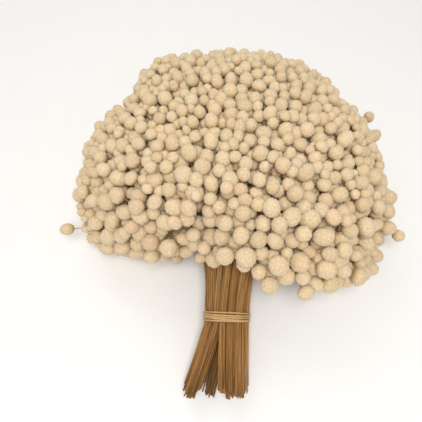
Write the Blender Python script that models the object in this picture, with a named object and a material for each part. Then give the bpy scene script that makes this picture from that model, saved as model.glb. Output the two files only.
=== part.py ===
"""A tied bunch of dried globe amaranth, lying on its side on a flat surface.

Metres, +Z up. The surface is z = 0, the cut ends of the stems point to -Y and the bloom to +Y.
Every flower is one ball-shaped head on one thin stem. About two dozen flowers grow into one
sheaf, whose stems lie side by side as one stalk through the tie, and the sheaves form the
left, middle and right bunches that part again below the tie.
"""

import math

import bmesh
import bpy
import numpy as np
from mathutils import Vector
from mathutils.geometry import delaunay_2d_cdt

SEED = 43
FLOWERS = 580
GAP = 0.0003

# Bloom, to the centres of its outermost heads
# Plan radii every 20 degrees, anticlockwise from +X
OUTLINE = (
    0.155, 0.157, 0.156, 0.164, 0.158, 0.158, 0.166, 0.143, 0.152,
    0.154, 0.150, 0.104, 0.080, 0.090, 0.112, 0.138, 0.158, 0.166,
)
RIM_HEIGHT = 0.050
FRONT_RIM_LIFT = 0.046
FRONT_RIM_MIDDLE = math.radians(-85)
FRONT_RIM_LEFT = 1.55
FRONT_RIM_RIGHT = 1.05
TOP_HEIGHT = 0.148
UNDER_DEPTH = 0.075
ROUNDNESS = 2.3
BLOOM_LOW = (-0.19, -0.13, 0.0)
BLOOM_HIGH = (0.19, 0.17, 0.16)

# Heads that hang clear of the bloom: x, y, z and radius
STRAY_HEADS = (
    (-0.162, -0.044, 0.058, 0.0064),
    (-0.146, -0.039, 0.048, 0.0042),
    (-0.122, -0.060, 0.050, 0.0078),
    (0.166, -0.052, 0.060, 0.0055),
    (-0.093, 0.139, 0.066, 0.0060),
    (0.153, 0.087, 0.060, 0.0060),
    (0.159, 0.068, 0.052, 0.0064),
)
STRAY_COUNT = 0.5

# Heads
SMALL_HEAD = 0.0055
LARGE_HEAD = 0.0087
BACK_OF_BLOOM = 0.15
BLOOM_RUN = 0.27
SIZE_CURVE = 1.4
SIZE_SPREAD = (0.86, 1.13)
DEPTHS = (0.0, 0.003, 0.009, 0.015)
DEPTH_SHARES = (0.42, 0.30, 0.18, 0.10)
PLAIN_HEAD_DEPTH = 0.0049
UNDER_EXTRA = 0.003
DEPTH_UNEVEN = 0.002
CORNER_REACH = 1.08
PRESSED = 0.0012

# Places are first drawn all through the bloom, then thinned out, then moved apart in short steps
DRAWS = 60000
DRAWN_WITHIN = 0.15
DRAWS_USED = 16000
UNDER_SIDE = 0.055
UNDER_SIDE_RUN = 0.045
FIRST_ROUNDS = 90
FLOOR_ROW = 0.014
FLOOR_ROOM = 1.3
ROOM = 1.03
LAST_ROUNDS = 180
FEET_EVERY = 40
LAST_ROOM = 1.01
LONGEST_STEP = 0.005

# Fan of the stems: where they part, how far they droop, and which way they lean
APEX = np.array((0.003, -0.065, 0.052))
DROOP = 0.110
DROOP_REACH = 0.165
RISE_DROOP = 1.6
FAN_TILT = math.radians(38)
FAN_HALF = math.radians(103)
LOWEST_SLOPE = math.sin(math.radians(-24))
NEAREST_HEAD = 0.040
SHORTEST_REACH = 0.03
LONGEST_REACH = 0.42
STEM_RUN = 0.045

# Stems and stalks
STEM = 0.00075
STEM_FOOT = 0.00060
FOOT_PITCH = 0.00150
FOOT_MARGIN = 0.0002
FIRST_SIDE = np.array((1.0, 0.0, 0.0))
SHEAF_ROWS = (4, 5, 6, 5, 4)
STALK = 0.00315
STALK_TIP = 0.0056
STALK_SIDES = 6
STALK_PITCH = 0.00705
ROW_PITCH = 0.00611
PLACE_FADE = 0.17
BEND_REACH = 0.045
TIP_REACH = 0.105
TIP_SHARE = 0.52
NECK_SHARE = 0.97
STALK_GAP = 0.0007
STALK_SAMPLES = 6
STALK_ROUNDS = 120
STALK_STEP = 0.1
HELD_POINTS = 3

# Tie and cut ends
TIE = np.array((-0.004, -0.128, 0.042))
BUNDLE_WAY = np.array((0.06, 0.965, 0.255))
STRAIGHT_HALF = 0.009
TIE_HALF_WIDTH = 0.0045
TIE_THICKNESS = 0.0018
TIE_CORNERS = 24
TIE_CLEARANCE = 0.0004
LEFT_OF_TIE = -0.006
MIDDLE_OF_TIE = 0.001
CUT_Y = -0.196
CUT_HEIGHT = 0.0158
CUT_SHIFTS = {"left": -0.022, "middle": -0.0145, "right": -0.0010}
CUT_UNEVEN = 0.004

CREAM = (0.86, 0.77, 0.62, 1.0)
STRAW = (0.56, 0.36, 0.15, 1.0)
RUBBER = (0.66, 0.47, 0.25, 1.0)


def unit(vector):
    return vector / np.linalg.norm(vector)


# The bloom's surface

def outline_radius(angle):
    angles = np.arange(len(OUTLINE)) * 2 * math.pi / len(OUTLINE)
    return np.interp(angle, angles, OUTLINE, period=2 * math.pi)


def outside(points):
    """Below zero inside the bloom, zero on its surface: a flattened dome whose front rim is lifted."""
    x, y, z = points[..., 0], points[..., 1], points[..., 2]
    angle = np.arctan2(y, x)
    share = np.hypot(x, y) / outline_radius(angle)
    away = (angle - FRONT_RIM_MIDDLE + math.pi) % (2 * math.pi) - math.pi
    width = np.where(away < 0, FRONT_RIM_LEFT, FRONT_RIM_RIGHT)
    lift = FRONT_RIM_LIFT * np.cos(np.clip(np.abs(away) / width, 0, 1) * math.pi / 2) ** 2
    rim = RIM_HEIGHT + lift * np.clip(share, 0, 1) ** 2
    reach = np.where(z > rim, TOP_HEIGHT - rim, UNDER_DEPTH)
    return share ** ROUNDNESS + np.abs((z - rim) / reach) ** ROUNDNESS - 1


# The fan: stems leave the apex as straight ways, and the droop bends them all back alike

def droop_of(points):
    across = points[..., 0] - APEX[0]
    rise = RISE_DROOP * (points[..., 2] - APEX[2])
    return DROOP * (across ** 2 + rise ** 2) / DROOP_REACH ** 2


def drooped(points):
    out = points.copy()
    out[..., 1] -= droop_of(points)
    return out


def raised(points):
    out = points.copy()
    out[..., 1] += droop_of(points)
    return out


def along(ways, reach):
    return drooped(APEX + ways * reach[..., None])


def fan_middle():
    return np.array((0.0, math.cos(FAN_TILT), math.sin(FAN_TILT)))


def turned_in(ways, which, amount):
    ways[which] += amount * fan_middle()
    ways[which] /= np.linalg.norm(ways[which], axis=1)[:, None]


def within_fan(ways):
    """Turns a way that leaves the fan back to the fan's edge."""
    middle = fan_middle()
    forward = ways @ middle
    side = ways - forward[:, None] * middle
    side /= np.linalg.norm(side, axis=1)[:, None] + 1e-12
    edge = math.cos(FAN_HALF) * middle + math.sin(FAN_HALF) * side
    return np.where((forward < math.cos(FAN_HALF))[:, None], edge, ways)


def exit_reach(ways):
    """How far along each way it leaves the bloom, and 0 where it misses the bloom."""
    steps = np.linspace(SHORTEST_REACH, LONGEST_REACH, 60)
    grid = np.broadcast_to(steps, (len(ways), len(steps)))
    inside = outside(along(ways[:, None, :], grid)) < 0
    last = inside.shape[1] - 1 - np.argmax(inside[:, ::-1], axis=1)
    low = steps[last]
    high = steps[np.minimum(last + 1, len(steps) - 1)]
    for _ in range(10):
        middle = (low + high) / 2
        within = outside(along(ways, middle)) < 0
        low = np.where(within, middle, low)
        high = np.where(within, high, middle)
    return np.where(inside.any(axis=1), low, 0.0)


def seated(points, radii, depths):
    """Moves each head centre along its own way to its depth under the bloom's surface."""
    ways = raised(points) - APEX
    ways /= np.linalg.norm(ways, axis=1)[:, None]
    ways[:, 2] = np.maximum(ways[:, 2], LOWEST_SLOPE)
    ways /= np.linalg.norm(ways, axis=1)[:, None]
    ways = within_fan(ways)
    reach = exit_reach(ways)
    for _ in range(40):
        short = reach < NEAREST_HEAD
        if not short.any():
            break
        turned_in(ways, short, 0.09)
        reach[short] = exit_reach(ways[short])
    down = np.minimum(ways[:, 2], -1e-6)
    floor = np.where(ways[:, 2] < 0, (radii - PRESSED - APEX[2]) / down, np.inf)
    reach = np.minimum(reach - depths, floor)
    return along(ways, reach), ways, reach


# Places of the heads

def usual_radius(points):
    """Heads are larger towards the front of the bunch."""
    share = np.clip((BACK_OF_BLOOM - points[:, 1]) / BLOOM_RUN, 0, 1)
    return SMALL_HEAD + (LARGE_HEAD - SMALL_HEAD) * share ** SIZE_CURVE


def spread_out(points, spacing, count):
    """Picks points one by one, each the furthest from those before it in units of the spacing."""
    picked = [0]
    room = np.linalg.norm(points - points[0], axis=1) / spacing
    while len(picked) < count:
        best = int(np.argmax(room))
        picked.append(best)
        away = np.linalg.norm(points - points[best], axis=1) / np.maximum(spacing, spacing[best])
        room = np.minimum(room, away)
    return points[picked]


def off_neighbours(points, radii):
    """One step that moves overlapping heads away from each other."""
    between = points[:, None, :] - points[None, :, :]
    distance = np.linalg.norm(between, axis=2) + 1e-9
    np.fill_diagonal(distance, 1.0)
    overlap = np.clip(radii[:, None] + radii[None, :] + GAP - distance, 0, None)
    return (between / distance[..., None] * overlap[..., None]).sum(axis=1)


def off_stems(points, radii, feet):
    """One step that moves each head off the stems of the others, and those a little the other way."""
    run = points - feet
    length = np.linalg.norm(run, axis=1)
    run = run / length[:, None]
    part = np.clip(((points[:, None] - feet[None]) * run[None]).sum(axis=2), 0, length[None])
    off = points[:, None] - feet[None] - run[None] * part[..., None]
    distance = np.linalg.norm(off, axis=2) + 1e-9
    np.fill_diagonal(distance, 1.0)
    overlap = np.clip(radii[:, None] + STEM + 2 * GAP - distance, 0, None)
    step = off / distance[..., None] * overlap[..., None]
    return step.sum(axis=1) - 0.5 * step.sum(axis=0)


def short_step(step):
    size = np.linalg.norm(step, axis=1)
    return step * np.minimum(1, LONGEST_STEP / (size + 1e-9))[:, None]


def place_heads():
    """Head centres, radii, depths, ways and reaches, evenly spread over the bloom."""
    rng = np.random.default_rng(SEED)
    points = rng.uniform(BLOOM_LOW, BLOOM_HIGH, (DRAWS, 3))
    points = points[outside(points) < DRAWN_WITHIN][:DRAWS_USED]
    points, _, _ = seated(points, np.full(len(points), SMALL_HEAD), np.zeros(len(points)))
    low = np.clip((UNDER_SIDE - points[:, 2]) / UNDER_SIDE_RUN, 0, 1)
    points = spread_out(points, usual_radius(points) + UNDER_EXTRA * low, FLOWERS - len(STRAY_HEADS))
    strays = np.array(STRAY_HEADS)
    points = np.vstack((strays[:, :3], points))
    depths = rng.choice(DEPTHS, len(points), p=DEPTH_SHARES) + rng.uniform(0, DEPTH_UNEVEN, len(points))
    grade = rng.uniform(*SIZE_SPREAD, len(points))
    depths[:len(strays)] = 0.0
    heads = seated_with_strays(points, grade, depths)
    for _ in range(FIRST_ROUNDS):
        points, radii, ways, reach = heads
        room = np.where(points[:, 2] < FLOOR_ROW, FLOOR_ROOM, ROOM)
        feet = along(ways, reach - STEM_RUN)
        step = 0.4 * off_neighbours(points, radii * CORNER_REACH * room)
        step += 0.35 * off_stems(points, radii * CORNER_REACH, feet)
        heads = seated_with_strays(points + short_step(step), grade, depths)
    return (*heads, grade, depths)


def seated_with_strays(points, grade, depths):
    strays = np.array(STRAY_HEADS)
    radii = usual_radius(points) * grade
    radii[:len(strays)] = strays[:, 3]
    points, ways, reach = seated(points, radii, depths)
    points[:len(strays)] = strays[:, :3]
    stray_ways = raised(strays[:, :3]) - APEX
    reach[:len(strays)] = np.linalg.norm(stray_ways, axis=1)
    ways[:len(strays)] = stray_ways / reach[:len(strays), None]
    return points, radii, ways, reach


# Sheaves and their stalks

def share_out(ways):
    """Which sheaf each flower belongs to: rows of the fan from below upwards, then across."""
    middle = fan_middle()
    across = np.array((1.0, 0.0, 0.0))
    over = np.cross(across, middle)
    forward = ways @ middle
    sheaf = np.zeros(len(ways), int)
    order = np.argsort(ways @ over / forward, kind="stable")
    total = sum(SHEAF_ROWS)
    start, number = 0, 0
    for row in SHEAF_ROWS:
        end = start + row
        members = order[round(start * len(ways) / total):round(end * len(ways) / total)]
        members = members[np.argsort((ways @ across / forward)[members], kind="stable")]
        for group in np.array_split(members, row):
            sheaf[group] = number
            number += 1
        start = end
    return sheaf


def bundle_axes():
    way = unit(BUNDLE_WAY)
    across = unit(np.cross(way, (0.0, 0.0, 1.0)))
    return way, across, np.cross(across, way)


def grip_places():
    """Where each stalk passes through the tie: its shares across and over the bundle, in metres."""
    places = []
    for number, row in enumerate(SHEAF_ROWS):
        high = (number - (len(SHEAF_ROWS) - 1) / 2) * ROW_PITCH
        places += [((place - (row - 1) / 2) * STALK_PITCH, high) for place in range(row)]
    return places


def hermite(start, end, start_way, end_way, count):
    t = np.linspace(0, 1, count)[:, None]
    return ((2 * t ** 3 - 3 * t ** 2 + 1) * start + (t ** 3 - 2 * t ** 2 + t) * start_way
            + (3 * t ** 2 - 2 * t ** 3) * end + (t ** 3 - t ** 2) * end_way)


def fanned(offset, way, reach):
    """A point of a stalk past the apex, where its place in the tie fades into its way."""
    return drooped(APEX + way * reach + offset * (1 - reach / PLACE_FADE))


def group_of(place):
    if place[0] < LEFT_OF_TIE:
        return "left"
    return "middle" if place[1] < 0 and place[0] < MIDDLE_OF_TIE else "right"


def stalk_path(place, way, tip_reach, uneven):
    """Centre line of one sheaf's stalk, from its cut end through the tie to where its flowers part."""
    bundle, across, over = bundle_axes()
    offset = place[0] * across + place[1] * over
    below = TIE + offset - STRAIGHT_HALF * bundle
    cut = np.array((TIE[0] + CUT_SHIFTS[group_of(place)], CUT_Y, CUT_HEIGHT)) + offset
    cut += uneven * unit(below - cut)
    above = TIE + offset + STRAIGHT_HALF * bundle
    bend = min(BEND_REACH, 0.55 * tip_reach)
    middle = fanned(offset, way, bend)
    onward = unit(fanned(offset, way, bend + 0.002) - middle)
    span = np.linalg.norm(middle - above)
    curve = hermite(above, middle, bundle * span, onward * span * 0.8, 4)
    rest = [fanned(offset, way, reach) for reach in np.linspace(bend, tip_reach, 3)[1:]]
    return np.vstack((cut, below, curve, rest))


def stalk_width(number, count):
    """Half the width of a stalk at one point of its path: it widens from the tie to its tip."""
    share = max(0, number - HELD_POINTS + 1) / (count - HELD_POINTS)
    return STALK + (STALK_TIP - STALK) * share ** 2


def moved_apart(paths):
    """Past the tie, moves stalks that would touch away from each other in short steps."""
    paths = np.array(paths)
    stalks, count, _ = paths.shape
    start = np.repeat(np.arange(count - 1), STALK_SAMPLES)
    share = np.tile(np.linspace(0, 1, STALK_SAMPLES), count - 1)
    blend = np.zeros((len(start), count))
    blend[np.arange(len(start)), start] = 1 - share
    blend[np.arange(len(start)), start + 1] = share
    width = np.tile(blend @ [stalk_width(number, count) for number in range(count)], stalks)
    owner = np.repeat(np.arange(stalks), len(start))
    for _ in range(STALK_ROUNDS):
        places = (blend @ paths).reshape(-1, 3)
        between = places[:, None] - places[None]
        distance = np.linalg.norm(between, axis=2) + 1e-9
        overlap = np.clip(width[:, None] + width[None] + STALK_GAP - distance, 0, None)
        overlap[owner[:, None] == owner[None]] = 0
        push = (between / distance[..., None] * overlap[..., None]).sum(axis=1).reshape(stalks, -1, 3)
        paths[:, HELD_POINTS:] += STALK_STEP * (blend.T @ push)[:, HELD_POINTS:]
    return list(paths)


def lay_out():
    """All flowers and stalks: heads that would touch another flower are moved, then left out."""
    points, radii, ways, reach, grade, depths = place_heads()
    sheaf = share_out(ways)
    places = grip_places()
    uneven = np.random.default_rng(SEED + 1).uniform(-CUT_UNEVEN, CUT_UNEVEN, len(places))
    paths = []
    for number, place in enumerate(places):
        mine = sheaf == number
        tip_reach = min(TIP_REACH, TIP_SHARE * np.percentile(reach[mine], 8))
        paths.append(stalk_path(place, unit(ways[mine].sum(axis=0)), tip_reach, uneven[number]))
    paths = moved_apart(paths)
    feet = np.array([path[-1] for path in paths])[sheaf]
    for number in range(LAST_ROUNDS):
        if number % FEET_EVERY == 0:
            feet = stem_feet(points, sheaf, paths)
        step = 0.42 * off_neighbours(points, radii * CORNER_REACH * LAST_ROOM)
        step += 0.6 * off_stems(points, radii * CORNER_REACH, feet)
        points, radii, ways, reach = seated_with_strays(points + short_step(step), grade, depths)
    feet = stem_feet(points, sheaf, paths)
    keep = clear_of_each_other(points, radii * CORNER_REACH, feet, sheaf, paths)
    return points[keep], radii[keep], depths[keep], sheaf[keep], feet[keep], paths


def stem_feet(points, sheaf, paths):
    """Where each flower's stem stands on the tip of its sheaf's stalk."""
    feet = np.empty_like(points)
    for number, path in enumerate(paths):
        mine = sheaf == number
        side, over = frames_along(path, FIRST_SIDE)[-1]
        ways = points[mine] - path[-1]
        ways /= np.linalg.norm(ways, axis=1)[:, None]
        places = feet_on_tip(ways, side, over)
        feet[mine] = path[-1] + places[:, :1] * side + places[:, 1:] * over
    return feet


def segment_gaps(a0, a1, b0, b1):
    """Least distance from every straight piece of one list to every one of another."""
    u = (a1 - a0)[:, None]
    v = (b1 - b0)[None]
    w = a0[:, None] - b0[None]
    uu, uv, vv = (u * u).sum(-1), (u * v).sum(-1), (v * v).sum(-1)
    uw, vw = (u * w).sum(-1), (v * w).sum(-1)
    area = uu * vv - uv * uv
    s = np.where(area > 1e-16, (uv * vw - vv * uw) / np.maximum(area, 1e-16), 0.0)
    t = np.clip((uv * np.clip(s, 0, 1) + vw) / np.maximum(vv, 1e-16), 0, 1)
    s = np.clip((uv * t - uw) / np.maximum(uu, 1e-16), 0, 1)
    return np.linalg.norm(w + s[..., None] * u - t[..., None] * v, axis=-1)


def clear_of_each_other(points, radii, feet, sheaf, paths):
    """Leaves out the flower with the most clashes until each is clear of the others and the stalks.

    Heads that hang clear of the bloom come first, and stay where another flower can give way.
    """
    stalk_lows = np.vstack([path[:-1] for path in paths])
    stalk_highs = np.vstack([path[1:] for path in paths])
    owner = np.repeat(np.arange(len(paths)), [len(path) - 1 for path in paths])
    beside = segment_gaps(feet, points, stalk_lows, stalk_highs) < STEM + STALK_TIP + GAP
    beside &= sheaf[:, None] != owner[None]
    on_stalk = segment_gaps(points, points, stalk_lows, stalk_highs) < radii[:, None] + STALK_TIP + GAP
    near = np.linalg.norm(points[:, None] - points[None], axis=2) < radii[:, None] + radii[None] + GAP
    through = segment_gaps(feet, points, points, points) < radii[None] + STEM + GAP
    together = sheaf[:, None] == sheaf[None]
    wanted = np.where(together, 2 * STEM_FOOT + GAP / 3, 2 * STEM + GAP)
    crossing = segment_gaps(feet, points, feet, points) < wanted
    clash = near | through | through.T | crossing
    np.fill_diagonal(clash, False)
    keep = ~(beside | on_stalk).any(axis=1)
    while True:
        counts = (clash & keep[None] & keep[:, None]).sum(axis=1).astype(float)
        counts[:len(STRAY_HEADS)] = np.minimum(counts[:len(STRAY_HEADS)], STRAY_COUNT)
        if counts.max() == 0:
            return keep
        keep[int(np.argmax(counts))] = False


# Meshes

def frames_along(path, first_side):
    """Two directions across each point of a path, carried along it without a twist."""
    sides = []
    side = first_side
    for number in range(len(path)):
        before = path[max(number - 1, 0)]
        after = path[min(number + 1, len(path) - 1)]
        way = unit(after - before)
        side = unit(side - way * (side @ way))
        sides.append((side, np.cross(way, side)))
    return sides


def ring(bm, centre, side, over, radius, count, turn=0.0):
    verts = []
    for number in range(count):
        angle = turn + 2 * math.pi * number / count
        verts.append(bm.verts.new(centre + radius * (math.cos(angle) * side + math.sin(angle) * over)))
    return verts


def join_rings(bm, low, high, material):
    """Two triangles for each side between two rings that start at the same angle."""
    count = len(low)
    for number in range(count):
        after = (number + 1) % count
        for corners in ((low[number], low[after], high[after]), (low[number], high[after], high[number])):
            bm.faces.new(corners).material_index = material


def join_turned(bm, low, high, material):
    """A band of triangles where the upper ring is half a step further round than the lower."""
    count = len(low)
    for number in range(count):
        after = (number + 1) % count
        bm.faces.new((low[number], low[after], high[number])).material_index = material
        bm.faces.new((low[after], high[after], high[number])).material_index = material


def add_head(bm, neck, centre, radius, side, over, way, plain):
    """A faceted ball on the three corners of its stem."""
    def level(height, width, turn):
        return ring(bm, centre + way * height * radius, side, over, width * radius, 3, turn)

    step = math.pi / 3
    if plain:
        belt = level(0.05, 1.06, step)
        join_turned(bm, neck, belt, 0)
        top = bm.verts.new(centre + way * radius * 1.04)
        for number in range(3):
            corners = (belt[number], belt[(number + 1) % 3], top)
            bm.faces.new(corners).material_index = 0
        return
    low = level(-0.34, 1.00, step)
    high = level(0.22, 1.04, 2 * step)
    crown = level(0.86, 0.60, 3 * step)
    join_turned(bm, neck, low, 0)
    join_turned(bm, low, high, 0)
    join_turned(bm, high, crown, 0)
    bm.faces.new(crown).material_index = 0


def feet_on_tip(ways, side, over):
    """Where each stem stands on its stalk's tip, so that any two stems only part as they go."""
    leans = np.stack((ways @ side, ways @ over), axis=1)
    places = leans - leans.mean(axis=0)
    edge = STALK_TIP * math.cos(math.pi / STALK_SIDES) - STEM_FOOT - FOOT_MARGIN
    places *= edge / np.abs(places).max()
    for _ in range(400):
        between = places[:, None] - places[None]
        distance = np.linalg.norm(between, axis=2) + 1e-9
        np.fill_diagonal(distance, 1.0)
        overlap = np.clip(FOOT_PITCH - distance, 0, None)
        places = places + 0.3 * (between / distance[..., None] * overlap[..., None]).sum(axis=1)
        size = np.linalg.norm(places, axis=1)
        places *= np.minimum(1, edge / (size + 1e-9))[:, None]
    for _ in range(len(places)):
        closing = 0
        for first in range(len(places)):
            for second in range(first + 1, len(places)):
                if (places[first] - places[second]) @ (leans[first] - leans[second]) < 0:
                    places[[first, second]] = places[[second, first]]
                    closing += 1
        if not closing:
            break
    return places


def cap_with_feet(bm, rim, feet, centre, side, over):
    """Closes a stalk's tip round the feet of its stems."""
    verts = rim + [vert for foot in feet for vert in foot]
    flat = []
    for vert in verts:
        off = np.array(vert.co) - centre
        flat.append(Vector((float(off @ side), float(off @ over))))
    loops = [list(range(len(rim)))]
    loops += [list(range(len(rim) + 3 * k, len(rim) + 3 * k + 3)) for k in range(len(feet))]
    edges = [(loop[k], loop[(k + 1) % len(loop)]) for loop in loops for k in range(len(loop))]
    out_verts, _, faces, sources, _, _ = delaunay_2d_cdt(flat, edges, [], 1, 1e-7)
    source = [found[0] for found in sources]
    taken = [set(loop) for loop in loops[1:]]
    for face in faces:
        corners = [source[k] for k in face]
        if set(corners) not in taken:
            bm.faces.new([verts[k] for k in corners]).material_index = 1


def add_sheaf(bm, path, points, radii, depths, starts):
    """One stalk, its flowers' stems and their heads as one closed body."""
    frames = frames_along(path, FIRST_SIDE)
    rings = []
    for number, centre in enumerate(path):
        rings.append(ring(bm, centre, *frames[number], stalk_width(number, len(path)), STALK_SIDES))
    for low, high in zip(rings, rings[1:]):
        join_rings(bm, low, high, 1)
    bm.faces.new(rings[0][::-1]).material_index = 1
    side, over = frames[-1]
    feet = []
    for point, radius, depth, start in zip(points, radii, depths, starts):
        foot = ring(bm, start, side, over, STEM_FOOT, 3)
        way = unit(point - start)
        near = unit(side - way * (side @ way))
        beside = np.cross(way, near)
        neck = ring(bm, point - way * radius * NECK_SHARE, near, beside, STEM, 3)
        join_rings(bm, foot, neck, 1)
        add_head(bm, neck, point, radius, near, beside, way, depth > PLAIN_HEAD_DEPTH)
        feet.append(foot)
    cap_with_feet(bm, rings[-1], feet, path[-1], side, over)


def press_flat(bm):
    """Heads that reach the surface are pressed flat on it."""
    geometry = bm.verts[:] + bm.edges[:] + bm.faces[:]
    cut = bmesh.ops.bisect_plane(
        bm, geom=geometry, dist=1e-7, plane_co=(0, 0, 0), plane_no=(0, 0, 1), clear_inner=True
    )
    edges = [item for item in cut["geom_cut"] if isinstance(item, bmesh.types.BMEdge)]
    if edges:
        bmesh.ops.holes_fill(bm, edges=edges, sides=0)


def new_object(name, bm, materials):
    bmesh.ops.triangulate(bm, faces=bm.faces[:])
    bmesh.ops.recalc_face_normals(bm, faces=bm.faces[:])
    mesh = bpy.data.meshes.new(name)
    bm.to_mesh(mesh)
    bm.free()
    for material in materials:
        mesh.materials.append(material)
    mesh.shade_smooth()
    mesh.set_sharp_from_angle(angle=math.radians(75))
    obj = bpy.data.objects.new(name, mesh)
    bpy.context.scene.collection.objects.link(obj)
    return obj


def new_material(name, colour, roughness):
    material = bpy.data.materials.new(name)
    material.use_nodes = True
    shader = material.node_tree.nodes["Principled BSDF"]
    shader.inputs["Base Color"].default_value = colour
    shader.inputs["Roughness"].default_value = roughness
    shader.inputs["Metallic"].default_value = 0.0
    return material


def make_sheaves(materials):
    points, radii, depths, sheaf, feet, paths = lay_out()
    counts = dict.fromkeys(CUT_SHIFTS, 0)
    made = []
    for number, place in enumerate(grip_places()):
        mine = sheaf == number
        bm = bmesh.new()
        add_sheaf(bm, paths[number], points[mine], radii[mine], depths[mine], feet[mine])
        press_flat(bm)
        group = group_of(place)
        counts[group] += 1
        made.append(new_object(f"{group}_bunch_sheaf_{counts[group]:02d}", bm, materials))
    return made


def hull_corner(angle, across, over, margin):
    """The corner of the stalks' outline that lies furthest out at this angle."""
    way = np.array((math.cos(angle), math.sin(angle)))
    places = np.array(grip_places())
    corner = places[int(np.argmax(places @ way))] + way * (STALK + margin)
    return TIE + corner[0] * across + corner[1] * over


def make_tie(material):
    """A flat band wound tight round all the stalks."""
    bundle, across, over = bundle_axes()
    bm = bmesh.new()
    loops = []
    outer = TIE_CLEARANCE + TIE_THICKNESS
    for margin, shift in ((TIE_CLEARANCE, -1), (TIE_CLEARANCE, 1), (outer, 1), (outer, -1)):
        loop = []
        for number in range(TIE_CORNERS):
            angle = 2 * math.pi * (number + 0.5) / TIE_CORNERS
            corner = hull_corner(angle, across, over, margin)
            loop.append(bm.verts.new(corner + shift * TIE_HALF_WIDTH * bundle))
        loops.append(loop)
    for number, loop in enumerate(loops):
        join_rings(bm, loop, loops[(number + 1) % 4], 0)
    return new_object("tie_band", bm, [material])


def centre_on_origin(objects):
    """Moves the whole bunch so that the middle of its box is over the origin."""
    corners = np.array([vert.co for obj in objects for vert in obj.data.vertices])
    middle = (corners.min(axis=0) + corners.max(axis=0)) / 2
    for obj in objects:
        for vert in obj.data.vertices:
            vert.co.x -= middle[0]
            vert.co.y -= middle[1]


def main():
    for obj in list(bpy.data.objects):
        bpy.data.objects.remove(obj, do_unlink=True)
    cream = new_material("cream_head", CREAM, 0.9)
    straw = new_material("straw_stem", STRAW, 0.75)
    rubber = new_material("rubber_band", RUBBER, 0.6)
    made = make_sheaves([cream, straw])
    made.append(make_tie(rubber))
    centre_on_origin(made)


main()
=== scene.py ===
"""Looks of the tied bunch of dried globe amaranth.

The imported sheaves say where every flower's stem parts from its stalk, where its head is and how
large it is. Fine heads of small bracts and single thin stems take their place here, with more
flowers in the gaps between and behind the outer ones. Lengths are in metres, and the camera's lens
and sensor in millimetres.
"""

import math

import bmesh
import bpy
import numpy as np
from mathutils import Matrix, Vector


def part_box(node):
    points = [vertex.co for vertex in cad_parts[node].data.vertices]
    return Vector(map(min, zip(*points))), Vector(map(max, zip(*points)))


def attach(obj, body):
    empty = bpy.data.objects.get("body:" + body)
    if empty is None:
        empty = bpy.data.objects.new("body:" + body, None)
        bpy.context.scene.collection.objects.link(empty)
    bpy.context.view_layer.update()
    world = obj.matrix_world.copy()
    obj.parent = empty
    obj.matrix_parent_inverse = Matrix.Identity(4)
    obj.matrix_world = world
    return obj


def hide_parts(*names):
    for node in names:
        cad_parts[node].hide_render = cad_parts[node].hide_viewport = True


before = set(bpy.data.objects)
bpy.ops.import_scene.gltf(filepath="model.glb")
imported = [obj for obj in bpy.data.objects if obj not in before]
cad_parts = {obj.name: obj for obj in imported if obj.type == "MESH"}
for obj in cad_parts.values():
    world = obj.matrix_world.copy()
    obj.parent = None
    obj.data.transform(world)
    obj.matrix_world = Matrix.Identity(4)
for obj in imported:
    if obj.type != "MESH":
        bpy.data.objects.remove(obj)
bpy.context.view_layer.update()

# Random draws
FILL_SEED = 5638
HEAD_SEED = FILL_SEED + 3
TIE_SEED = FILL_SEED + 7
ANY_PHASE = (0, 6)

# Points of a node that agree to this many digits are one
WELD_DIGITS = 6

# How part.py draws a stalk and a flower
STALK_SIDES = 6
STEM = 0.00075
# The ring of corners where a stem meets its head: its side, the room for error in lengths, and how
# far it is from the head's centre, in radii
NECK_CORNERS = 3
NECK_SIDE = STEM * math.sqrt(3)
NECK_CLOSE = 0.000004
NECK_SHARE = 0.97
# No such ring is looked for this near a stalk's tip
TIP_ROOM = 0.0065
# A head's widest reach across its way, in radii: plain where a corner lies on the way, else high
HIGH_BELT = 1.04
PLAIN_BELT = 1.06
FIRST_SIDE = np.array((1.0, 0.0, 0.0))

# Heads: the points of one, in the outer layer and in each round of inner flowers
HEAD_POINTS = (280, 124, 80, 50, 40)
# How many different heads each layer has
VARIANTS = 12
# How far the points stray from even places, against the space between them
POINT_PLAY = 0.24
# Bracts and lumps, as shares of the radius
BRACT_TIP = 0.075
BRACT_LEAN = 0.060
BRACT_UNEVEN = 0.012
LUMP = 0.042
# How many waves make up the lumps, and how tightly they run
LUMPS = 4
LUMP_WAVE = 1.7
# A head's size without its bracts' tips, and how long and wide ovals may be, all in radii
FULLNESS = 0.975
LONG_SHARE = (0.86, 1.24)
WIDE_SHARE = (0.90, 1.07)
FLOOR_CLEARANCE = 0.0002

# Crossed with the way of a head or a stem, these give its first side
HEAD_SLANT = (0.3, -0.5, 0.81)
STEM_SLANT = (0.31, 0.22, 0.92)

# More flowers in the gaps, from the surface inwards. Each round has its number of tries, the depths
# behind an outer head, the most sideways play, the sizes as shares of that head's, how near two heads
# may come as a share of their radii together, and the widest angle, in degrees, that may be open of
# outer heads
FILL_ROUNDS = (
    {"tries": 60000, "depths": (-0.003, 0.003), "most_play": 0.026,
     "size_shares": (0.76, 1.06), "touch": 0.78, "most_open": 160},
    {"tries": 70000, "depths": (0.002, 0.010), "most_play": 0.024,
     "size_shares": (0.80, 1.08), "touch": 0.79, "most_open": 178},
    {"tries": 50000, "depths": (0.008, 0.018), "most_play": 0.020,
     "size_shares": (0.90, 1.15), "touch": 0.82, "most_open": 185},
    {"tries": 40000, "depths": (0.015, 0.028), "most_play": 0.020,
     "size_shares": (0.95, 1.20), "touch": 0.84, "most_open": 185},
)
# How many outer heads tell a place's way outward, and how many its openings
NEAREST_OUTER = 6
AROUND_OUTER = 9
# How clear of a stalk's centre line an inner head is: a share of its radius, and some room
STALK_SHARE = 0.4
STALK_ROOM = 0.001
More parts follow.
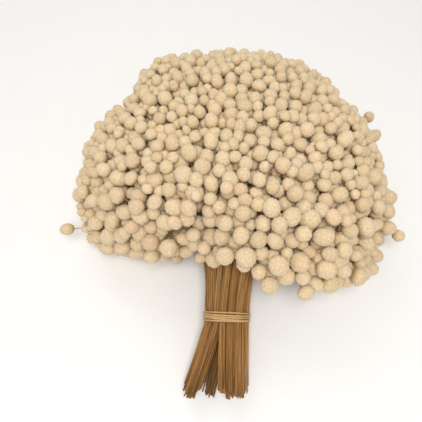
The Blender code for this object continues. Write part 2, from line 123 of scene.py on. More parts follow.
# The lowest inner heads, and how much higher they start where the bloom faces the cut ends
NO_FILL_BELOW = 0.009
FRONT_RAISE = 0.040
FOOT_PLAY = 0.0006

# Stems: the radii at a cut end and at a head, and of a side stem
LOW_STEM = 0.00066
HIGH_STEM = 0.00044
SIDE_STEM = 0.00038
STEM_PLAY = (0.85, 1.15)
STEM_SIDES = 5
SIDE_STEM_SIDES = 3
# How far from a head's centre its stem ends, in radii
STEM_IN_HEAD = 0.8
# The share of inner flowers whose stem runs down to a cut end, as the outer ones' do
OWN_STEM = 0.12
# How far below its head a side stem leaves its parent's, the least way up to there, and its bow
BRANCH_BACK = 0.030
LEAST_RUN = 0.002
BRANCH_BOW = 0.2
STEPS_EACH = 2
# How much wider than their stalk the stems lie, along it and at the cut ends
SPREAD = 1.16
END_SPREAD = 1.42
WOBBLE = 0.00035
END_WOBBLE = 0.0006
RAGGED_PLAY = 0.0011
# How much shorter than its stalk a stem may be cut
CUT_BACK = 0.010
RAGGED_CUT_BACK = 0.020
# How far below a head its stem starts to grow paler
PALE_REACH = 0.11

# Tie
STRANDS = 5
STRAND_SIDES = 8
# Half a strand's thickness, how far its middle lies within the band's outline, and how uneven it is
STRAND_HALF_DEPTH = 0.00085
STRAND_INSET = 0.0009
STRAND_SAG = 0.00009
STRAND_RIPPLE = 0.00006
STRAND_SLOPE = 0.0006
# How much of its share of the band's width a strand fills
STRAND_FILL = 0.98
# Corners all round, and how many of them to each side bound the outline at one
TIE_CORNERS = 96
OUTLINE_REACH = 20

# Camera, light and floor
CAMERA_HEIGHT = math.radians(66)
CAMERA_DISTANCE = 0.53
LOOK_FROM_TIE = np.array((-0.0150, 0.094, 0.038))
LENS = 46.75
SENSOR = 36.0
WORLD_COLOUR = (1.0, 0.99, 0.97)
WORLD_STRENGTH = 0.455
LIGHTS = (
    {"name": "key", "place": (-0.35, 0.75, 1.15), "target": (0.0, 0.0, 0.05),
     "size": 0.9, "power": 2.9, "colour": (1.0, 0.97, 0.92)},
    {"name": "fill", "place": (0.0, -0.42, 1.15), "target": (0.0, 0.0, 0.06),
     "size": 0.4, "power": 8.7, "colour": (1.0, 0.98, 0.95)},
)
FLOOR_HALF = 3.0


def unit(vector):
    return vector / np.linalg.norm(vector)


# The sheaves as the frame holds them

def welded(node):
    """Points and edges of a node, with the points that shading doubled made one."""
    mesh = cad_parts[node].data
    places = np.empty(len(mesh.vertices) * 3)
    mesh.vertices.foreach_get("co", places)
    places = places.reshape(-1, 3)
    rounded = np.round(places, WELD_DIGITS)
    _, first, index = np.unique(rounded, axis=0, return_index=True, return_inverse=True)
    ends = np.empty(len(mesh.edges) * 2, int)
    mesh.edges.foreach_get("vertices", ends)
    edges = np.sort(index.reshape(-1)[ends].reshape(-1, 2), axis=1)
    return places[first], np.unique(edges[edges[:, 0] != edges[:, 1]], axis=0)


def neighbours(count, edges):
    """The set of points that edges join to each point."""
    near = [set() for _ in range(count)]
    for a, b in edges.tolist():
        near[a].add(b)
        near[b].add(a)
    return near


def components(members, near):
    """Groups of members that edges join without leaving the members."""
    left = set(members)
    groups = []
    while left:
        group, edge = set(), [left.pop()]
        while edge:
            point = edge.pop()
            group.add(point)
            onward = near[point] & left
            left -= onward
            edge.extend(onward)
        groups.append(sorted(group))
    return groups


def stalk_rings(points, near):
    """The rings of points along a stalk, from its cut end to its tip."""
    rings = [np.argsort(points[:, 1])[:STALK_SIDES].tolist()]
    seen = set(rings[0])
    while True:
        onward = set().union(*(near[point] for point in rings[-1])) - seen
        if len(onward) != STALK_SIDES:
            return rings
        rings.append(sorted(onward))
        seen |= onward


def flowers_of(points, edges, near, tip):
    """Foot, centre and radius of each flower of a sheaf whose stalk ends at the tip."""
    length = np.linalg.norm(points[edges[:, 0]] - points[edges[:, 1]], axis=1)
    off_tip = (np.linalg.norm(points - tip, axis=1) > TIP_ROOM)[edges].all(axis=1)
    short = edges[off_tip & (np.abs(length - NECK_SIDE) < NECK_CLOSE)]
    linked = neighbours(len(points), short)
    necks = [group for group in components(set(short.ravel().tolist()), linked)
             if len(group) == NECK_CORNERS and all(len(linked[point]) == 2 for point in group)]
    in_neck = {point for neck in necks for point in neck}
    groups = components(set(range(len(points))) - in_neck, near)
    body = set(max(groups, key=len))
    group_at = {point: group for group in groups for point in group}
    found = []
    for neck in necks:
        around = set().union(*(near[point] for point in neck)) - set(neck)
        foot = points[sorted(around & body)].mean(axis=0)
        middle = points[neck].mean(axis=0)
        way = unit(middle - foot)
        head = points[group_at[min(around - body)]] - middle
        off = np.linalg.norm(head - np.outer(head @ way, way), axis=1)
        belt = PLAIN_BELT if off.min() < NECK_CLOSE else HIGH_BELT
        radius = off.max() / belt
        found.append((foot, middle + way * NECK_SHARE * radius, radius))
    return found


def frames_along(path):
    """Two directions across each point of a path, carried along it without a twist."""
    frames = []
    side = FIRST_SIDE
    for number in range(len(path)):
        way = unit(path[min(number + 1, len(path) - 1)] - path[max(number - 1, 0)])
        side = unit(side - way * (side @ way))
        frames.append((side, np.cross(way, side)))
    return frames


def read_sheaf(node):
    """A sheaf's stalk as a path with sizes and frames, and its flowers."""
    points, edges = welded(node)
    near = neighbours(len(points), edges)
    rings = stalk_rings(points, near)
    path = np.array([points[ring].mean(axis=0) for ring in rings])
    sizes = np.array([np.linalg.norm(points[ring] - centre, axis=1).mean()
                      for ring, centre in zip(rings, path)])
    flowers = flowers_of(points, edges, near, path[-1])
    return {
        "node": node,
        "path": path,
        "sizes": sizes,
        "frames": frames_along(path),
        "feet": np.array([flower[0] for flower in flowers]),
        "centres": np.array([flower[1] for flower in flowers]),
        "radii": np.array([flower[2] for flower in flowers]),
    }


# More flowers behind and between

def distance_to_stalks(points, lows, runs):
    """Least distance from each point to a stalk's centre line."""
    off = points[:, None] - lows[None]
    share = np.clip((off * runs).sum(axis=2) / (runs ** 2).sum(axis=1), 0, 1)
    return np.linalg.norm(off - runs * share[..., None], axis=2).min(axis=1)


def widest_opening(ways, offsets):
    """Widest angle, seen along each way, that holds none of its offsets."""
    side = np.cross(ways, HEAD_SLANT)
    side /= np.linalg.norm(side, axis=1)[:, None]
    over = np.cross(ways, side)
    upward = (offsets * over[:, None]).sum(axis=2)
    sideways = (offsets * side[:, None]).sum(axis=2)
    angle = np.sort(np.arctan2(upward, sideways), axis=1)
    return np.diff(np.hstack((angle, angle[:, :1] + 2 * math.pi)), axis=1).max(axis=1)


def fill_tries(rng, outer, radii, ways, tries, depths, most_play, size_shares, touch, most_open):
    """Random places near outer heads that are within the bloom and not too near any outer head."""
    parent = rng.integers(len(outer), size=tries)
    way = ways[parent]
    play = rng.normal(0, 1, (tries, 3))
    play -= way * (play * way).sum(axis=1)[:, None]
    play *= (most_play * rng.random(tries) ** 0.5 / np.linalg.norm(play, axis=1))[:, None]
    centres = outer[parent] - way * rng.uniform(*depths, tries)[:, None] + play
    sizes = radii[parent] * rng.uniform(*size_shares, tries)
    away = np.linalg.norm(centres[:, None] - outer[None], axis=2)
    clear = (away > touch * (radii[None] + sizes[:, None])).all(axis=1)
    clear &= centres[:, 2] > NO_FILL_BELOW
    parent, centres, sizes, away = parent[clear], centres[clear], sizes[clear], away[clear]
    nearest = np.argpartition(away, NEAREST_OUTER, axis=1)[:, :NEAREST_OUTER]
    outward = ways[nearest].mean(axis=1)
    outward /= np.linalg.norm(outward, axis=1)[:, None]
    ahead = ((outer[nearest] - centres[:, None]) * outward[:, None]).sum(axis=2)
    front = (ahead + radii[nearest]).mean(axis=1)
    high = centres[:, 2] > NO_FILL_BELOW + FRONT_RAISE * np.clip(-outward[:, 1], 0, 1)
    around = np.argpartition(away, AROUND_OUTER, axis=1)[:, :AROUND_OUTER]
    opening = widest_opening(outward, outer[around] - centres[:, None])
    within = high & (front > sizes) & (opening < math.radians(most_open))
    return parent[within], centres[within], sizes[within]


def add_inner_flowers(sheaves):
    """Draws more flowers at random between and behind the outer ones, where there is room."""
    rng = np.random.default_rng(FILL_SEED)
    owner = np.repeat(np.arange(len(sheaves)), [len(sheaf["radii"]) for sheaf in sheaves])
    outer = np.vstack([sheaf["centres"] for sheaf in sheaves])
    outer_radii = np.concatenate([sheaf["radii"] for sheaf in sheaves])
    feet = np.vstack([sheaf["feet"] for sheaf in sheaves])
    ways = outer - feet
    ways /= np.linalg.norm(ways, axis=1)[:, None]
    lows = np.vstack([sheaf["path"][:-1] for sheaf in sheaves])
    runs = np.vstack([sheaf["path"][1:] for sheaf in sheaves]) - lows
    for sheaf in sheaves:
        sheaf["inner"] = []
    centres, radii = np.zeros((0, 3)), np.zeros(0)
    for layer, fill_round in enumerate(FILL_ROUNDS, 1):
        found = fill_tries(rng, outer, outer_radii, ways, **fill_round)
        room = found[2] * STALK_SHARE + STALK_ROOM
        stalks_clear = distance_to_stalks(found[1], lows, runs) > room
        for parent, centre, radius in zip(*(part[stalks_clear] for part in found)):
            nearest = fill_round["touch"] * (radii + radius)
            if (np.linalg.norm(centres - centre, axis=1) < nearest).any():
                continue
            centres = np.vstack((centres, centre))
            radii = np.append(radii, radius)
            foot = feet[parent] + rng.normal(0, FOOT_PLAY, 3)
            sheaves[owner[parent]]["inner"].append((foot, centre, radius, ways[parent], layer))


def all_flowers(sheaf):
    """The outer flowers as layer 0, without a parent's way, and then the inner ones."""
    outer = zip(sheaf["feet"], sheaf["centres"], sheaf["radii"])
    return [(*flower, None, 0) for flower in outer] + sheaf["inner"]


# Heads

def spiral_points(count):
    """Points spread evenly over a ball, along a spiral."""
    number = np.arange(count) + 0.5
    height = 1 - 2 * number / count
    turn = number * math.pi * (3 - math.sqrt(5))
    width = np.sqrt(1 - height ** 2)
    return np.stack((width * np.cos(turn), width * np.sin(turn), height), axis=1)


def uneven_ball(count, rng):
    """Points spread over a ball, without the rows that an even spiral shows."""
    points = spiral_points(count)
    play = rng.normal(0, POINT_PLAY / math.sqrt(count), points.shape)
    points += play * math.sqrt(4 * math.pi / 3)
    return points / np.linalg.norm(points, axis=1)[:, None]


def hull_faces(points):
    """The triangles that join points on a ball."""
    bm = bmesh.new()
    verts = [bm.verts.new(point) for point in points]
    bm.verts.index_update()
    bmesh.ops.convex_hull(bm, input=verts)
    bmesh.ops.recalc_face_normals(bm, faces=bm.faces[:])
    faces = np.array([[vert.index for vert in face.verts] for face in bm.faces])
    bm.free()
    return faces


def bract_tips(faces, count, rng):
    """1 at the points that stand out, no two of them next to each other, and 0 at the others."""
    near = [[] for _ in range(count)]
    for face in faces.tolist():
        for point in face:
            near[point].extend(face)
    tip = np.zeros(count)
    for point in rng.permutation(count):
        if not tip[near[point]].any():
            tip[point] = 1
    return tip


def unit_head(count, rng):
    """A ball of bracts whose tips stand out and lean to the crown, with soft lumps."""
    ball = uneven_ball(count, rng)
    faces = hull_faces(ball)
    tip = bract_tips(faces, count, rng)
    up = np.array((0.0, 0.0, 1.0)) - ball * ball[:, 2:]
    size = FULLNESS + BRACT_TIP * tip + rng.normal(0, BRACT_UNEVEN, count)
    for _ in range(LUMPS):
        height = LUMP * rng.uniform(-1, 1)
        size += height * np.sin(ball @ rng.normal(0, LUMP_WAVE, 3) + rng.uniform(*ANY_PHASE))
    places = (ball + up * BRACT_LEAN * tip[:, None]) * size[:, None]
    return places, faces, tip, ball[:, 2] * 0.5 + 0.5


def placed_head(places, way, spin, centre, radius, shares):
    """A unit head scaled, with its crown turned to its way, at its centre."""
    side = unit(np.cross(way, HEAD_SLANT))
    over = np.cross(way, side)
    turned_side = math.cos(spin) * side + math.sin(spin) * over
    turned_over = np.cross(way, turned_side)
    axes = np.stack((turned_side * shares[0], turned_over * shares[1], way * shares[2]))
    return centre + radius * (places @ axes)


def heads_of(sheaf, kinds, rng):
    """All heads of one sheaf: points, faces and the numbers that colour them."""
    points, faces, tips, tones, shades, crowns = [], [], [], [], [], []
    start = 0
    for foot, centre, radius, _, layer in all_flowers(sheaf):
        places, triangles, tip, crown = kinds[layer][int(rng.integers(VARIANTS))]
        long_share = rng.uniform(*LONG_SHARE)
        shares = (rng.uniform(*WIDE_SHARE), rng.uniform(*WIDE_SHARE), long_share)
        way = unit(centre - foot)
        head = placed_head(places, way, rng.uniform(0, 2 * math.pi), centre, radius, shares)
        head[:, 2] = np.maximum(head[:, 2], FLOOR_CLEARANCE)
        points.append(head)
        faces.append(triangles + start)
        start += len(head)
        tips.append(tip)
        tones.append(np.full(len(head), rng.random()))
        shades.append(np.full(len(head), rng.random()))
        crowns.append(crown)
    numbers = {"tip": tips, "tone": tones, "shade": shades, "crown": crowns}
    numbers = {name: np.concatenate(values) for name, values in numbers.items()}
    return np.vstack(points), np.vstack(faces), numbers


# Stems

def smooth_path(points, steps):
    """A smooth curve through the points."""
    points = np.asarray(points)
    before = np.vstack((2 * points[:1] - points[1:2], points[:-1]))
    after = np.vstack((points[1:], 2 * points[-1:] - points[-2:-1]))
    chord = np.linalg.norm(np.diff(points, axis=0), axis=1)
    lean = after - before
    lean /= np.linalg.norm(lean, axis=1)[:, None]
    out = []
    for number, length in enumerate(chord):
        t = np.linspace(0, 1, steps, endpoint=False)[:, None]
        start, end = points[number], points[number + 1]
        start_way, end_way = lean[number] * length, lean[number + 1] * length
        out.append((2 * t ** 3 - 3 * t ** 2 + 1) * start + (t ** 3 - 2 * t ** 2 + t) * start_way
                   + (3 * t ** 2 - 2 * t ** 3) * end + (t ** 3 - t ** 2) * end_way)
    out.append(points[-1:])
    return np.vstack(out)


def stem_path(sheaf, foot, centre, radius, rng):
    """One stem from its cut end, within its sheaf's stalk, to its head."""
    path, sizes, frames = sheaf["path"], sheaf["sizes"], sheaf["frames"]
    side, over = frames[-1]
    off = foot - path[-1]
    across, above = off @ side, off @ over
    points = []
    spreads = [END_SPREAD] + [SPREAD] * (len(path) - 2) + [1]
    for number in range(len(path)):
        share = sizes[number] / sizes[-1] * spreads[number]
        side, over = frames[number]
        wobble = rng.normal(0, WOBBLE if number else END_WOBBLE, 2)
        sideways = (across * share + wobble[0]) * side
        upward = (above * share + wobble[1]) * over
        points.append(path[number] + sideways + upward)
    ragged = "middle" in sheaf["node"]
    back = rng.random() ** 2 * (RAGGED_CUT_BACK if ragged else CUT_BACK)
    points[0] = points[0] + unit(points[1] - points[0]) * back
    if ragged:
        points[0] = points[0] + rng.normal(0, RAGGED_PLAY, 3)
    way = unit(centre - points[-1])
    points.append(centre - way * radius * STEM_IN_HEAD)
    bowed = smooth_path(points, STEPS_EACH)
    bowed[:, 2] = np.maximum(bowed[:, 2], LOW_STEM + FLOOR_CLEARANCE)
    return bowed


def branch_path(foot, centre, radius, parent_way):
    """A side stem that leaves the parent's stem some way below the head."""
    run = max((centre - foot) @ parent_way - BRANCH_BACK, LEAST_RUN)
    start = foot + parent_way * run
    way = unit(centre - start)
    end = centre - way * radius * STEM_IN_HEAD
    bow = (way - parent_way) * np.linalg.norm(end - start) * BRANCH_BOW
    middle = (start + end) / 2 - bow
    bowed = smooth_path((start, middle, end), STEPS_EACH)
    bowed[:, 2] = np.maximum(bowed[:, 2], LOW_STEM + FLOOR_CLEARANCE)
    return bowed


def tube(path, radii, sides, turn):
    """Points and faces of a closed tube along a path."""
    count = len(path)
    ways = np.gradient(path, axis=0)
    ways /= np.linalg.norm(ways, axis=1)[:, None]
    side = np.cross(ways, STEM_SLANT)
    side /= np.linalg.norm(side, axis=1)[:, None]
    over = np.cross(ways, side)
    angle = turn + np.arange(sides) * 2 * math.pi / sides
    ring = side[:, None] * np.cos(angle)[:, None] + over[:, None] * np.sin(angle)[:, None]
    points = (path[:, None] + ring * radii[:, None, None]).reshape(-1, 3)
    number = np.arange(count - 1)[:, None] * sides
    here = np.arange(sides)[None]
    after = (here + 1) % sides
    low_a, low_b = number + here, number + after
    quads = np.stack((low_a, low_b, low_b + sides, low_a, low_b + sides, low_a + sides), axis=-1)
    fan = np.arange(1, sides - 1)
    low_cap = np.stack((np.zeros_like(fan), fan + 1, fan), axis=1)
    high_cap = np.stack((np.zeros_like(fan), fan, fan + 1), axis=1) + (count - 1) * sides
    return points, np.vstack((quads.reshape(-1, 3), low_cap, high_cap))


def stems_of(sheaf, rng):
    """All stems of one sheaf: points, faces and the numbers that colour them."""
    points, faces, tones, runs, highs = [], [], [], [], []
    start = 0
    for foot, centre, radius, parent_way, _ in all_flowers(sheaf):
        if parent_way is None or rng.random() < OWN_STEM:
            path = stem_path(sheaf, foot, centre, radius, rng)
            size = np.linspace(LOW_STEM, HIGH_STEM, len(path)) * rng.uniform(*STEM_PLAY)
            sides = STEM_SIDES if parent_way is None else SIDE_STEM_SIDES
        else:
            path = branch_path(foot, centre, radius, parent_way)
            size = np.full(len(path), SIDE_STEM)
            sides = SIDE_STEM_SIDES
        ring, triangles = tube(path, size, sides, rng.uniform(0, 2 * math.pi))
        points.append(ring)
        faces.append(triangles + start)
        start += len(ring)
        tones.append(np.full(len(ring), rng.random()))
        steps = np.linalg.norm(np.diff(path, axis=0), axis=1)
        length = np.concatenate(([0], np.cumsum(steps)))
        runs.append(np.repeat(length, sides))
        highs.append(np.repeat(np.clip(1 - (length[-1] - length) / PALE_REACH, 0, 1), sides))
    numbers = {"stem": tones, "run": runs, "high": highs}
    numbers = {name: np.concatenate(values) for name, values in numbers.items()}
    numbers["ragged"] = np.full(start, float("middle" in sheaf["node"]))
    return np.vstack(points), np.vstack(faces), numbers


# Tie

def tie_axes():
    """The band's points and centre, the way of the bundle through it and two directions across."""
    points, _ = welded("tie_band")
    centre = points.mean(axis=0)
    _, _, axes = np.linalg.svd(points - centre, full_matrices=False)
    way = axes[2] if axes[2][1] > 0 else -axes[2]
    across = unit(np.cross(way, (0.0, 0.0, 1.0)))
    return points, centre, way, across, np.cross(across, way)


def outline_round(flat, angles):
    """The outline of flat points, seen from their middle at each of the angles."""
    ways = np.stack((np.cos(angles), np.sin(angles)), axis=1)
    reach = (flat @ ways.T).max(axis=0)
    turns = range(-OUTLINE_REACH, OUTLINE_REACH)
    lengths = [min(reach[(number + turn) % TIE_CORNERS] / math.cos(angles[1] * turn) for turn in turns)
               for number in range(TIE_CORNERS)]
    return ways * np.array(lengths)[:, None]


def strand_points(outline, angles, axes, shift, half_width, rng):
    """Rings of points along one strand, which has a flat oval profile and lies a little uneven."""
    centre, way, across, over = axes
    sag = STRAND_SAG * np.sin(angles * 2 + rng.uniform(*ANY_PHASE))
    sag += STRAND_RIPPLE * np.sin(angles * 5 + rng.uniform(*ANY_PHASE))
    slope = STRAND_SLOPE * np.sin(angles + rng.uniform(*ANY_PHASE))
    distance = np.linalg.norm(outline, axis=1)
    outward = outline / distance[:, None]
    out = outward[:, :1] * across + outward[:, 1:] * over
    loop = centre + out * (distance - STRAND_INSET + sag)[:, None] + (shift + slope)[:, None] * way
    profile = (np.arange(STRAND_SIDES) + 0.5) * 2 * math.pi / STRAND_SIDES
    thick = STRAND_HALF_DEPTH * np.cos(profile)[:, None]
    wide = half_width * STRAND_FILL * np.sin(profile)[:, None]
    return (loop[:, None] + out[:, None] * thick + way * wide).reshape(-1, 3)


def strand_faces():
    """Triangles between the rings of one strand, which closes on itself."""
    here = np.arange(TIE_CORNERS)[:, None] * STRAND_SIDES
    onward = np.roll(here, -1, axis=0)
    side = np.arange(STRAND_SIDES)[None]
    after = (side + 1) % STRAND_SIDES
    corners = (here + side, onward + side, onward + after, here + side, onward + after, here + after)
    return np.stack(corners, axis=-1).reshape(-1, 3)


def make_tie(material):
    """A rubber band wound several times round the stems, strand beside strand."""
    points, centre, way, across, over = tie_axes()
    off = points - centre
    angles = np.arange(TIE_CORNERS) * 2 * math.pi / TIE_CORNERS
    outline = outline_round(np.stack((off @ across, off @ over), axis=1), angles)
    half_width = np.abs(off @ way).max() / STRANDS
    rng = np.random.default_rng(TIE_SEED)
    rings, faces, tones = [], [], []
    for number in range(STRANDS):
        shift = (number - (STRANDS - 1) / 2) * 2 * half_width
        ring = strand_points(outline, angles, (centre, way, across, over), shift, half_width, rng)
        rings.append(ring)
        faces.append(strand_faces() + number * len(ring))
        tones.append(np.full(len(ring), rng.random()))
    new_piece("tie_band_strands", np.vstack(rings), np.vstack(faces), {"strand": np.concatenate(tones)},
              material, "tie_band", "rubber_band")


# Pieces

def new_piece(name, points, faces, numbers, material, node, slot):
    """One object that stands in for a node, with its numbers kept at its points."""
    mesh = bpy.data.meshes.new(name)
    mesh.from_pydata(points, (), faces)
    mesh.update()
    for attribute, values in numbers.items():
        layer = mesh.attributes.new(attribute, "FLOAT", "POINT")
        layer.data.foreach_set("value", np.ascontiguousarray(values, np.float32))
    mesh.materials.append(material)
    mesh.shade_smooth()
    piece = bpy.data.objects.new(name, mesh)
    bpy.context.scene.collection.objects.link(piece)
    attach(piece, "root")
    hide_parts(node)


# Materials

class Nodes:
    """Short calls for a material's nodes."""

    def __init__(self, name):
        self.material = bpy.data.materials.new(name)
        self.material.use_nodes = True
        self.tree = self.material.node_tree
        self.shader = self.tree.nodes["Principled BSDF"]

    def add(self, kind, **settings):
        node = self.tree.nodes.new(kind)
        for key, value in settings.items():
            setattr(node, key, value)
        return node

    def link(self, out, into):
        self.tree.links.new(out, into)

    def number(self, name):
        return self.add("ShaderNodeAttribute", attribute_name=name).outputs["Fac"]

    def math(self, operation, first, second=None, third=None):
        node = self.add("ShaderNodeMath", operation=operation)
        for socket, value in zip(node.inputs, (first, second, third)):
            if value is None:
                continue
            if isinstance(value, (int, float)):
                socket.default_value = value
            else:
                self.link(value, socket)
        return node.outputs[0]

    def ramp(self, factor, stops):
        node = self.add("ShaderNodeValToRGB")
        ramp = node.color_ramp
        while len(ramp.elements) < len(stops):
            ramp.elements.new(0.5)
        for element, (place, colour) in zip(ramp.elements, stops):
            element.position = place
            element.color = (*colour, 1.0)
        self.link(factor, node.inputs[0])
        return node.outputs[0]

    def mix(self, kind, factor, first, second):
        node = self.add("ShaderNodeMix", data_type="RGBA", blend_type=kind)
        for place, value in ((0, factor), (6, first), (7, second)):
            socket = node.inputs[place]
            if isinstance(value, (int, float)):
                socket.default_value = value
            elif isinstance(value, tuple):
                socket.default_value = (*value, 1.0)
            else:
                self.link(value, socket)
        return node.outputs[2]

    def noise(self, scale, detail=2.0, rough=0.5, vector=None):
        node = self.add("ShaderNodeTexNoise")
        node.inputs["Scale"].default_value = scale
        node.inputs["Detail"].default_value = detail
        node.inputs["Roughness"].default_value = rough
        if vector is None:
            vector = self.add("ShaderNodeTexCoord").outputs["Object"]
        self.link(vector, node.inputs["Vector"])
        return node.outputs["Fac"]

    def bump(self, height, strength, distance, normal=None):
        node = self.add("ShaderNodeBump")
        node.inputs["Strength"].default_value = strength
        node.inputs["Distance"].default_value = distance
        self.link(height, node.inputs["Height"])
        if normal is not None:
            self.link(normal, node.inputs["Normal"])
        return node.outputs["Normal"]


    def finished(self, colour, settings, normal=None):
        """The material, with its colour, normal and the shader's other settings in place."""
        self.link(colour, self.shader.inputs["Base Color"])
        if normal is not None:
            self.link(normal, self.shader.inputs["Normal"])
        for name, value in settings.items():
            self.shader.inputs[name].default_value = value
        return self.material


def head_material():
    """Dry papery bracts: warm cream heads, a few a little pinker or yellower, with painted shade
    between the bracts' tips, and darker towards the stem, partly painted shade.
    """
    nodes = Nodes("cream_bracts")
    tone = nodes.ramp(nodes.number("tone"), (
        (0.00, (0.80, 0.62, 0.44)),
        (0.12, (0.83, 0.66, 0.46)),
        (0.45, (0.85, 0.685, 0.475)),
        (0.80, (0.87, 0.715, 0.505)),
        (0.92, (0.82, 0.67, 0.44)),
        (1.00, (0.77, 0.64, 0.42)),
    ))
    shade = nodes.math("MULTIPLY_ADD", nodes.number("shade"), 0.115, 0.86)
    patch = nodes.math("MULTIPLY_ADD", nodes.noise(430.0, 3.0, 0.7), 0.62, 0.69)
    # Faint rows of bracts, one below the other from the crown down
    turn = nodes.math("ARCCOSINE", nodes.math("MULTIPLY_ADD", nodes.number("crown"), 1.998, -0.999))
    uneven = nodes.math("MULTIPLY", nodes.noise(230.0), 9.0)
    rows = nodes.math("SINE", nodes.math("MULTIPLY_ADD", turn, 18.0, uneven))
    patch = nodes.math("MULTIPLY", patch, nodes.math("MULTIPLY_ADD", rows, 0.05, 0.98))
    grey = nodes.ramp(nodes.math("MULTIPLY", shade, patch), (
        (0.0, (0.0, 0.0, 0.0)),
        (1.0, (1.0, 1.0, 1.0)),
    ))
    colour = nodes.mix("MULTIPLY", 1.0, tone, grey)
    # Painted shade between the bracts' tips; then darker brown towards the stem end
    between_tips_shade = nodes.math("MULTIPLY", nodes.math("SUBTRACT", 1.0, nodes.number("tip")), 0.32)
    colour = nodes.mix("MIX", between_tips_shade, colour, (0.62, 0.44, 0.22))
    # Towards the stem end: partly the head's own brown base, partly painted shade on the underside
    brown_base_and_shade = nodes.math("MAXIMUM", nodes.math("MULTIPLY_ADD", nodes.number("crown"), -2.6, 1.0), 0.0)
    colour = nodes.mix("MIX", nodes.math("MULTIPLY", brown_base_and_shade, 0.9), colour, (0.44, 0.30, 0.11))
    fine = nodes.bump(nodes.noise(1700.0, 2.0, 0.6), 0.5, 0.0004)
    return nodes.finished(colour, {
        "Roughness": 0.95,
        "Specular IOR Level": 0.12,
        "Subsurface Weight": 0.6,
        "Subsurface Radius": (1.0, 0.74, 0.46),
        "Subsurface Scale": 0.005,
        "Sheen Weight": 0.10,
        "Sheen Roughness": 0.6,
    }, nodes.bump(nodes.noise(700.0, 2.0, 0.55), 0.5, 0.0007, fine))


def stem_material():
    """Dry straw, golden brown and streaked, paler near the heads, and darker in the middle bunch as
    painted shade.
    """
    nodes = Nodes("straw")
    vector = nodes.add("ShaderNodeCombineXYZ")
    nodes.link(nodes.math("MULTIPLY", nodes.number("stem"), 37.0), vector.inputs[0])
    nodes.link(nodes.math("MULTIPLY", nodes.number("run"), 24.0), vector.inputs[1])
    streak = nodes.math("MULTIPLY_ADD", nodes.noise(1.6, 3.0, 0.6, vector.outputs[0]), 0.9, -0.22)
    colour = nodes.ramp(nodes.math("MULTIPLY_ADD", nodes.number("stem"), 0.55, streak), (
        (0.05, (0.15, 0.070, 0.022)),
        (0.30, (0.27, 0.130, 0.040)),
        (0.60, (0.41, 0.205, 0.063)),
        (0.95, (0.55, 0.318, 0.112)),
    ))
    # Painted shade: the middle bunch's stems are made much darker
    ragged = nodes.math("MULTIPLY", nodes.number("ragged"), 0.6)
    colour = nodes.mix("MIX", ragged, colour, (0.11, 0.060, 0.026))
    high = nodes.math("MULTIPLY", nodes.number("high"), 0.75)
    colour = nodes.mix("MIX", high, colour, (0.56, 0.40, 0.17))
    return nodes.finished(colour, {
        "Roughness": 0.66,
        "Specular IOR Level": 0.25,
    }, nodes.bump(nodes.noise(2600.0, 2.0, 0.5), 0.35, 0.0003))


def rubber_material():
    """Plain tan rubber with a faint dusty bloom."""
    nodes = Nodes("tan_rubber")
    dust = nodes.math("MULTIPLY", nodes.noise(420.0, 3.0, 0.6), 0.7)
    colour = nodes.ramp(nodes.math("MULTIPLY_ADD", nodes.number("strand"), 0.3, dust), (
        (0.15, (0.46, 0.27, 0.10)),
        (0.85, (0.66, 0.43, 0.19)),
    ))
    normal = nodes.bump(nodes.noise(2200.0, 2.0, 0.5), 0.2, 0.0002)
    return nodes.finished(colour, {"Roughness": 0.5}, normal)


def floor_material():
    """Plain white paper."""
    nodes = Nodes("white_paper")
    colour = nodes.ramp(nodes.noise(40.0, 2.0, 0.5), (
        (0.0, (0.94, 0.94, 0.94)),
        (1.0, (0.96, 0.96, 0.96)),
    ))
    return nodes.finished(colour, {"Roughness": 0.9, "Specular IOR Level": 0.1})


# Stage

def make_floor(material):
    """The white surface that the bunch lies on."""
    mesh = bpy.data.meshes.new("floor")
    corners = [(-FLOOR_HALF, -FLOOR_HALF, 0), (FLOOR_HALF, -FLOOR_HALF, 0),
               (FLOOR_HALF, FLOOR_HALF, 0), (-FLOOR_HALF, FLOOR_HALF, 0)]
    mesh.from_pydata(corners, (), [(0, 1, 2, 3)])
    mesh.materials.append(material)
    floor = bpy.data.objects.new("floor", mesh)
    bpy.context.scene.collection.objects.link(floor)


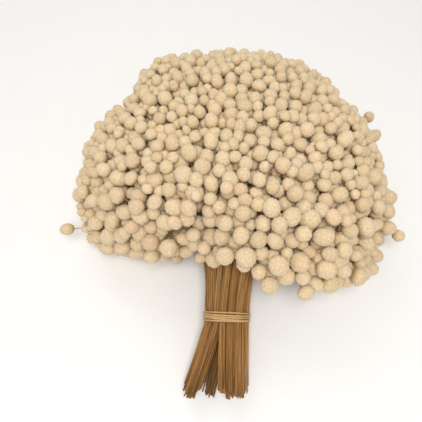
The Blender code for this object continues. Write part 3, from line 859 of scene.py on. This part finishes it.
def aim(obj, place, target):
    """Puts a camera or light at a place, turned to the target."""
    obj.location = place
    obj.rotation_euler = (Vector(target) - Vector(place)).to_track_quat("-Z", "Y").to_euler()


def area_light(name, place, target, size, power, colour):
    data = bpy.data.lights.new(name, "AREA")
    data.shape = "DISK"
    data.size = size
    data.energy = power
    data.color = colour
    light = bpy.data.objects.new(name, data)
    bpy.context.scene.collection.objects.link(light)
    aim(light, place, target)


def make_light():
    """A soft white world, a key light from the far side and a stronger fill from the near side."""
    scene = bpy.context.scene
    world = bpy.data.worlds.new("soft_white")
    world.use_nodes = True
    background = world.node_tree.nodes["Background"]
    background.inputs["Color"].default_value = (*WORLD_COLOUR, 1.0)
    background.inputs["Strength"].default_value = WORLD_STRENGTH
    scene.world = world
    for light in LIGHTS:
        area_light(**light)
    scene.view_settings.view_transform = "Standard"
    scene.view_settings.look = "None"
    scene.view_settings.exposure = 0.0


def make_camera():
    """The photo's view: down on the bunch, from the side of its cut ends."""
    low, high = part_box("tie_band")
    tie = (np.array(low) + np.array(high)) / 2
    look = tie + LOOK_FROM_TIE
    back = np.array((0.0, -math.cos(CAMERA_HEIGHT), math.sin(CAMERA_HEIGHT)))
    data = bpy.data.cameras.new("camera")
    data.sensor_width = SENSOR
    data.lens = LENS
    camera = bpy.data.objects.new("camera", data)
    bpy.context.scene.collection.objects.link(camera)
    aim(camera, look + back * CAMERA_DISTANCE, look)
    bpy.context.scene.camera = camera


def main():
    nodes = sorted(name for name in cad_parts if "sheaf" in name)
    sheaves = [read_sheaf(node) for node in nodes]
    add_inner_flowers(sheaves)
    rng = np.random.default_rng(HEAD_SEED)
    kinds = [[unit_head(count, rng) for _ in range(VARIANTS)] for count in HEAD_POINTS]
    bracts = head_material()
    straw = stem_material()
    for sheaf in sheaves:
        node = sheaf["node"]
        new_piece(node + "_heads", *heads_of(sheaf, kinds, rng), bracts, node, "cream_heads")
        new_piece(node + "_stems", *stems_of(sheaf, rng), straw, node, "straw_stems")
    make_tie(rubber_material())
    make_floor(floor_material())
    make_light()
    make_camera()


main()
